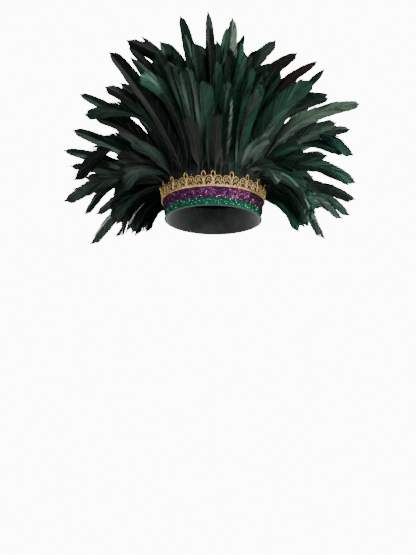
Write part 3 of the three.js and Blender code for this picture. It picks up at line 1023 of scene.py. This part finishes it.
def fill_feather(row, run, index, turn):
    first, last, count, seed, above, uneven_tips, reach_share, arch_share = run
    number = seed + index
    angle = first + (last - first) * (index + 0.5) / count + FILL_SHIFT * uneven(number)
    sideways = math.sin(math.radians(angle)) ** 2
    side_reach, side_high, end_reach, end_high = FILL_SHAPE[row]
    reach = (end_reach + (side_reach - end_reach) * sideways) * reach_share
    high = end_high + (side_high - end_high) * sideways + above
    start = quill_exit(row, angle, number)
    tip = ring_point(ROWS[row][1] + reach, angle, high + uneven_tips * uneven(number + 0.5))
    side = round(max(-1, min(1, SIDE_SHARE * math.sin(math.radians(angle)))))
    tints = FILL_TINTS[1 + side]
    tint = tints[number % len(tints)]
    arch = arch_share * np.linalg.norm(tip - start)
    return Feather(row, number, angle, start, tip, arch, FILL_WIDTH, tint, turn)


def row_feathers(row):
    feathers = [measured_feather(row, number) for number in range(len(MEASURED[row]))]
    for order, run in enumerate(FILL_RUNS[row]):
        turn = FACING_TURN if order < SOLID_RUNS else EXTRA_TURN
        feathers += [fill_feather(row, run, index, turn) for index in range(run[2])]
    return feathers


# %% [markdown]
# Each shaft leaves the tape, passes behind the lace and bends over in one curve. Every point of
# it carries what the tree needs to place the barbs there: the directions along, across and out of
# the vane, how far along it is, the vane's width, and the feather's tint and number.

# %% Shaft lines with their directions
SHAFT_POINTS = 24
SHAFT_LEFT = 0.01  # the vane's outline closes this share of the length past the shaft's end


def unit(vector):
    return vector / np.linalg.norm(vector)


def shaft_line(feather):
    """Points, directions along and shares of the length, for one feather."""
    start, tip = feather.exit, feather.tip
    chord = tip - start
    along = unit(chord)
    lift = unit(np.array([0, 0, 1]) - along * along[2])
    control = start + SHAFT_BEND * chord + 2 * feather.arch * lift
    tape = ROWS[feather.row][0] + TAPE_THICK / 2 + BAND_FLARE * QUILL_FOOT
    root = ring_point(tape, feather.angle, QUILL_FOOT)
    turns = np.linspace(0, 1, SHAFT_POINTS - 2)[:, None]
    bend = (1 - turns) ** 2 * start + 2 * turns * (1 - turns) * control + turns**2 * tip
    points = np.vstack([root, (root + start) / 2, bend])
    tangents = np.gradient(points, axis=0)
    tangents /= np.linalg.norm(tangents, axis=1)[:, None]
    runs = np.concatenate([[0], np.cumsum(np.linalg.norm(np.diff(points, axis=0), axis=1))])
    return points, tangents, runs, runs / (runs[-1] + SHAFT_LEFT * np.linalg.norm(chord))


def turn_of(feather):
    """How far the vane's face is turned from straight out, towards the back."""
    angle = (feather.angle + 180) % 360 - 180
    turn = -feather.turn * math.sin(math.radians(angle))
    if SIDE_FROM < abs(angle) < SIDE_TO:
        turn = -math.copysign(abs(angle) - SIDE_FACING, angle)
    return turn + FACING_SPREAD * uneven(feather.number * 3)


def facings_of(feather, shares):
    """Where the vane's face points: straight out at the tape, and turned to the back above it."""
    twist = np.clip(shares / TWIST_END, 0, 1)
    turns = np.radians(feather.angle + turn_of(feather) * twist * twist * (3 - 2 * twist))
    return np.stack([np.sin(turns), -np.cos(turns), 0 * turns], axis=1)


def shafts_object(name, feathers):
    columns = {}
    places = []
    edges = []
    for order, feather in enumerate(feathers):
        points, along, runs, shares = shaft_line(feather)
        across = np.cross(facings_of(feather, shares), along)
        across /= np.linalg.norm(across, axis=1)[:, None]
        first = len(places)
        edges += [(first + i, first + i + 1) for i in range(SHAFT_POINTS - 1)]
        places += list(points * MM)
        carried = {
            "along": along,
            "across": across,
            "face": np.cross(along, across),
            "share": shares,
            "run": runs * MM,
            "width": [feather.width * WIDER * MM] * SHAFT_POINTS,
            "number": [float(order)] * SHAFT_POINTS,
            "tint": [linear(TINTS[feather.tint])] * SHAFT_POINTS,
        }
        for key, values in carried.items():
            columns.setdefault(key, []).extend(values)
    made = helper_object(name, places, edges)
    for key, values in columns.items():
        store(made, key, values)
    return made


# %% [markdown]
# One barb is a long thin strip that bends towards the feather's tip. It has a low ridge, so
# that it is a closed solid and catches the light on two faces. It is one unit long and one wide,
# and the tree scales it. There is a left one and a right one, because a mirrored copy would be
# inside out.

# %% Barb strips
# Columns: share of the length, half width, bend towards the tip.
BARB_STATIONS = [(0.0, 0.9, 0.0), (0.84, 0.85, 1.5)]
BARB_TIP_BEND = 2.5
BARB_RIDGE = 0.16
# The root end, three long sides, and three faces that close the tip.
BARB_FACES = [(0, 1, 2), (1, 0, 3, 4), (2, 1, 4, 5), (0, 2, 5, 3), (4, 3, 6), (5, 4, 6), (3, 5, 6)]


def make_barb(name, side):
    points = []
    for share, half, bend in BARB_STATIONS:
        middle = -side * bend
        points += [(share, middle - half, 0), (share, middle + half, 0)]
        points.append((share, middle, BARB_RIDGE))
    points.append((1.0, -side * BARB_TIP_BEND, 0))
    barb = helper_object(name, points, (), BARB_FACES)
    barb.hide_render = True
    return barb


BARB_RIGHT = make_barb("barb_right", 1)
BARB_LEFT = make_barb("barb_left", -1)

# %% [markdown]
# The vane is shaped by curves along the shaft, from a few points each: its outline, the lean of
# its barbs, and where they are down. A barb's lean also changes with its clump: all barbs of a
# clump share one random turn, and they lean together a little, which opens notches between the
# clumps. No barb reaches far past the shaft's end, so the tip stays pointed.

# %% The vane's curves
# Columns: share of the shaft, half width as a share of the widest.
VANE_OUTLINE = [
    (0.0, 0.55), (0.12, 0.78), (0.3, 0.96), (0.5, 1.0), (0.68, 0.95),
    (0.8, 0.82), (0.88, 0.64), (0.93, 0.44), (0.97, 0.22), (1.0, 0.02),
]
# Columns: share of the shaft, angle between barb and shaft in radians.
BARB_LEAN = [
    (0.0, 1.15), (0.08, 0.8), (0.3, 0.5), (0.6, 0.42),
    (0.8, 0.38), (0.93, 0.34), (0.97, 0.28), (1.0, 0.1),
]
# Columns: share of the shaft, how much the barbs are down, which points every way.
DOWN = [(0.0, 1.0), (0.1, 0.8), (0.2, 0.1), (0.3, 0.0), (1.0, 0.0)]
DOWN_SPREAD = 0.24
# How uneven barbs are: turn in radians, length as a share, rise out of the vane, and the last
# two again for a whole clump.
TURN_UNEVEN = 0.012
LENGTH_UNEVEN = 0.015
CUP_UNEVEN = 0.05
CLUMP_LENGTH_UNEVEN = 0.01
CLUMP_CUP_UNEVEN = 0.04
LEAST_TURN = 0.06
LEAST_LEAN = 0.1
LOOSE_AT_ROOT = 1.05  # clumps come apart more near the root than near the tip
TIP_REACH = 0.8  # a barb is no longer than this share of the shaft that is left, and TIP_REST
TIP_REST = 3
CLUMP_SHIFT = 7.31  # moves the clumps on from one feather to the next
QUILL_TAPER = 0.68  # share of its thickness that a quill loses on its way to the tip
QUILL_SIDES = 5


def along_curve(tree, value, table):
    """A value read off a smooth curve through the table's points."""
    curve = add_node(tree, "ShaderNodeFloatCurve", {"Value": value})
    points = curve.node.mapping.curves[0].points
    for place, (position, height) in enumerate(table):
        if place < 2:
            points[place].location = (position, height)
        else:
            points.new(position, height)
    curve.node.mapping.update()
    return curve


# %% [markdown]
# One side of a vane puts a barb on every point of the shafts. Its direction is built from the
# shaft's own directions, by three amounts: forward, sideways and out of the vane. The two sides
# have their own seeds, so they aren't mirror images.

# %% One side of a vane


def vane_side(tree, given, dots, side, barb):
    calc = partial(math_node, tree)
    vector = partial(add_node, tree, "ShaderNodeVectorMath")

    def chance(low, high, seed, number=None):
        return random_value(tree, low, high, calc("ADD", given["Seed"], seed + side), number)

    share, run = read(tree, "share"), read(tree, "run")
    lean, down = along_curve(tree, share, BARB_LEAN), along_curve(tree, share, DOWN)
    # Clumps are lengths of the shaft, and start at another place on each feather.
    moved = calc("MULTIPLY", read(tree, "number"), CLUMP_SHIFT + side)
    clumps = calc("ADD", calc("DIVIDE", run, given["Clump"]), moved)
    clump = calc("FLOOR", clumps)
    inside = calc("SUBTRACT", calc("FRACT", clumps), 0.5)
    # The turn between barb and shaft. Few clumps have large odds, so few are split far apart.
    odds = chance(-1.0, 1.0, 20, clump)
    odds = calc("MULTIPLY", odds, odds, odds)
    loose = calc("SUBTRACT", LOOSE_AT_ROOT, share)
    split = calc("MULTIPLY", given["Split"], odds, loose)
    cling = calc("MULTIPLY", inside, given["Cling"], loose)
    own = chance(-TURN_UNEVEN, TURN_UNEVEN, 30)
    stray = calc("MULTIPLY", down, chance(-DOWN_SPREAD, DOWN_SPREAD, 35))
    turn = calc("MAXIMUM", calc("ADD", lean, split, cling, own, stray), LEAST_TURN)
    # How far it rises out of the vane.
    own = chance(-CUP_UNEVEN, CUP_UNEVEN, 40)
    shared = chance(-CLUMP_CUP_UNEVEN, CLUMP_CUP_UNEVEN, 50, clump)
    fluff = calc("MULTIPLY", down, chance(-DOWN_SPREAD, 2 * DOWN_SPREAD, 55))
    rise = calc("ADD", given["Cup"], own, shared, fluff)
    # Its direction.
    sideways = calc("MULTIPLY", calc("SINE", turn), float(side))
    amounts = {"along": calc("COSINE", turn), "across": sideways, "face": rise}
    forward, outward, risen = [
        vector({0: read(tree, name, "FLOAT_VECTOR"), 3: amount}, operation="SCALE")
        for name, amount in amounts.items()
    ]
    direction = vector({0: forward, 1: outward}, operation="ADD")
    direction = vector({0: direction, 1: risen}, operation="ADD")
    inputs = {"Primary Axis": direction, "Secondary Axis": read(tree, "face", "FLOAT_VECTOR")}
    axes = {"primary_axis": "X", "secondary_axis": "Z"}
    rotation = add_node(tree, "FunctionNodeAxesToRotation", inputs, **axes)
    # Its length reaches the vane's outline, or the shaft's end, and its width follows from it.
    outline = along_curve(tree, share, VANE_OUTLINE)
    half = calc("MULTIPLY", read(tree, "width"), 0.5, outline)
    leaning = calc("MAXIMUM", calc("SINE", lean), LEAST_LEAN)
    own = chance(1 - LENGTH_UNEVEN, 1 + LENGTH_UNEVEN, 60)
    shared = chance(1 - CLUMP_LENGTH_UNEVEN, 1 + CLUMP_LENGTH_UNEVEN, 70, clump)
    length = calc("MULTIPLY", calc("DIVIDE", half, leaning), own, shared)
    left = calc("SUBTRACT", calc("DIVIDE", run, share), run)
    length = calc("MINIMUM", length, calc("MULTIPLY_ADD", left, TIP_REACH, TIP_REST * MM))
    broad = calc("MINIMUM", calc("MULTIPLY", length, given["Barb width"]), given["Widest barb"])
    broad = calc("MAXIMUM", broad, given["Narrowest barb"])
    size = add_node(tree, "ShaderNodeCombineXYZ", {"X": length, "Y": broad, "Z": broad})
    seed = calc("ADD", given["Seed"], 80 + side)
    return put_copies(tree, dots, barb, rotation, size, "streak", seed)


# %% A tree that grows vanes and quills


def make_vane_tree():
    tree, given = new_tree(
        "grow_vanes",
        object=["Barb right", "Barb left"],
        float=["Spacing", "Barb width", "Widest barb", "Narrowest barb", "Clump", "Split",
               "Cling", "Cup", "Shaft radius"],
        int=["Seed"],
        material=["Vane material", "Shaft material"],
    )
    lines = add_node(tree, "GeometryNodeMeshToCurve", {"Mesh": given["Geometry"]})
    inputs = {"Curve": lines, "Length": given["Spacing"]}
    dots = add_node(tree, "GeometryNodeCurveToPoints", inputs, output="Points", mode="LENGTH")
    right = vane_side(tree, given, dots, 1, given["Barb right"])
    left = vane_side(tree, given, dots, -1, given["Barb left"])
    vanes = paint(tree, join(tree, right, left), given["Vane material"])
    calc = partial(math_node, tree)
    taper = calc("SUBTRACT", 1.0, calc("MULTIPLY", read(tree, "share"), QUILL_TAPER))
    radius = calc("MULTIPLY", given["Shaft radius"], taper)
    quills = paint(tree, sweep(tree, lines, radius, QUILL_SIDES), given["Shaft material"])
    end_tree(tree, join(tree, vanes, quills))
    return tree


# %% [markdown]
# Cock tail feathers are black until light strikes them, and then they shine green: the colour
# comes from thin layers in each barb. In the shader the vane is a dark colour with a metallic
# share, so that its highlights take the tint, and each barb is a little lighter or darker than
# the next: partly the barbs' own unevenness and partly painted streaks of sheen. The shaft is
# horn: smoother, and black.

# %% Feather materials
VANE_PATCH = (35, 2)  # slow patches over many feathers: size in millimetres, and detail
STREAK_SHARE = 0.6  # how much a barb's own number counts beside them


def multiplied(tree, a, b):
    inputs = {"Factor": 1.0, "A": a, "B": b}
    kind = {"data_type": "RGBA", "blend_type": "MULTIPLY"}
    return add_node(tree, "ShaderNodeMix", inputs, output="Result", **kind)


def make_vane_material():
    """Barbs with a green sheen, each a little lighter or darker as partly painted streaks of sheen,
    and dark near the root.
    """
    material, tree, shader = new_material(
        "iridescent_coque_barbs", 0.4, Metallic=0.65, Specular_IOR_Level=0.25
    )
    patch = grain(tree, *VANE_PATCH)
    # Barb streaks: partly the barbs' own unevenness, partly painted streaks of sheen.
    amount = math_node(tree, "MULTIPLY_ADD", attribute(tree, "streak"), STREAK_SHARE, patch)
    streaks = ramp(tree, amount, {0.25: "#343434", 0.6: "#a6a6a6", 0.95: "#ffffff"})
    rising = ramp(tree, attribute(tree, "share"), {0.1: "#787878", 0.55: "#ffffff"})
    tint = attribute(tree, "tint", "Color")
    colour = multiplied(tree, multiplied(tree, tint, streaks), rising)
    tree.links.new(colour, shader.inputs["Base Color"])
    return material


# Black horn, a little smoother than the barbs, so each shaft draws a fine dark line.
HORN = worked_material(
    "black_quill_horn", 0.5, (6, 2), {0.3: "#050706", 0.7: "#121512"}, Specular_IOR_Level=0.25
)
VANE = make_vane_material()
VANES = make_vane_tree()

# %% Grow the three rows
SIDE_LIMIT = 90  # each row is made as a back half and a front half
ROW_SEED = 100
FRONT_SEED = 50
FEATHER_SETTINGS = {
    "Barb right": BARB_RIGHT,
    "Barb left": BARB_LEFT,
    "Spacing": 2.1 * MM,
    "Barb width": 0.055,  # half the width of a barb, as a share of its length
    "Widest barb": 1.5 * MM,
    "Narrowest barb": 1.15 * MM,
    "Clump": 18 * MM,
    "Split": 0.06,  # how far a clump may turn, in radians
    "Cling": 0.045,  # how far the barbs of a clump lean together, in radians
    "Cup": -0.3,  # the vane's two sides fold away from its face
    "Shaft radius": 0.85 * MM,
    "Vane material": VANE,
    "Shaft material": HORN,
}


def make_feathers(name, row, feathers, seed):
    shafts = shafts_object(name + "_shafts", feathers)
    piece = grow(name, shafts, VANES, FEATHER_SETTINGS | {"Seed": seed})
    finish_piece(piece, [row + "_feather_row"])


def from_back(feather):
    return abs((feather.angle + 180) % 360 - 180)


for order, row in enumerate(ROWS):
    every = row_feathers(row)
    back = [feather for feather in every if from_back(feather) <= SIDE_LIMIT]
    front = [feather for feather in every if from_back(feather) > SIDE_LIMIT]
    print(row, len(back), "feathers at the back,", len(front), "at the front")
    make_feathers(row + "_feathers_back", row, back, ROW_SEED * order)
    make_feathers(row + "_feathers_front", row, front, ROW_SEED * order + FRONT_SEED)

# %% [markdown]
# The quills are sewn to cotton tapes, which lie between the felt and the lace. Only their top
# edges show, from above.

# %% Tapes
TAPE_STEPS = 120
TAPE_CUTS = 2
# Woven cotton dyed black: matt, with a fine even grain.
COTTON = worked_material(
    "black_cotton_tape", 0.9, (0.7, 3), {0.3: "#0a0b0b", 0.7: "#191b1b"}, (0.6, 2), (0.5, 0.15)
)
for row, (tape, _, _) in ROWS.items():
    strip = make_ring(
        row + "_tape",
        lambda angle, inner=tape: rounded_strip(inner, TAPE_THICK, TAPE_LOW, TAPE_HIGH, TAPE_CUTS),
        TAPE_STEPS,
    )
    finish_piece(strip, [row + "_feather_row"], COTTON)

# %% [markdown]
# The helpers have done their work.

# %% Tidy up and finish
for thing in list(bpy.data.objects):
    if thing.type == "MESH" and "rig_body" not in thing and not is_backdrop(thing):
        bpy.data.objects.remove(thing)
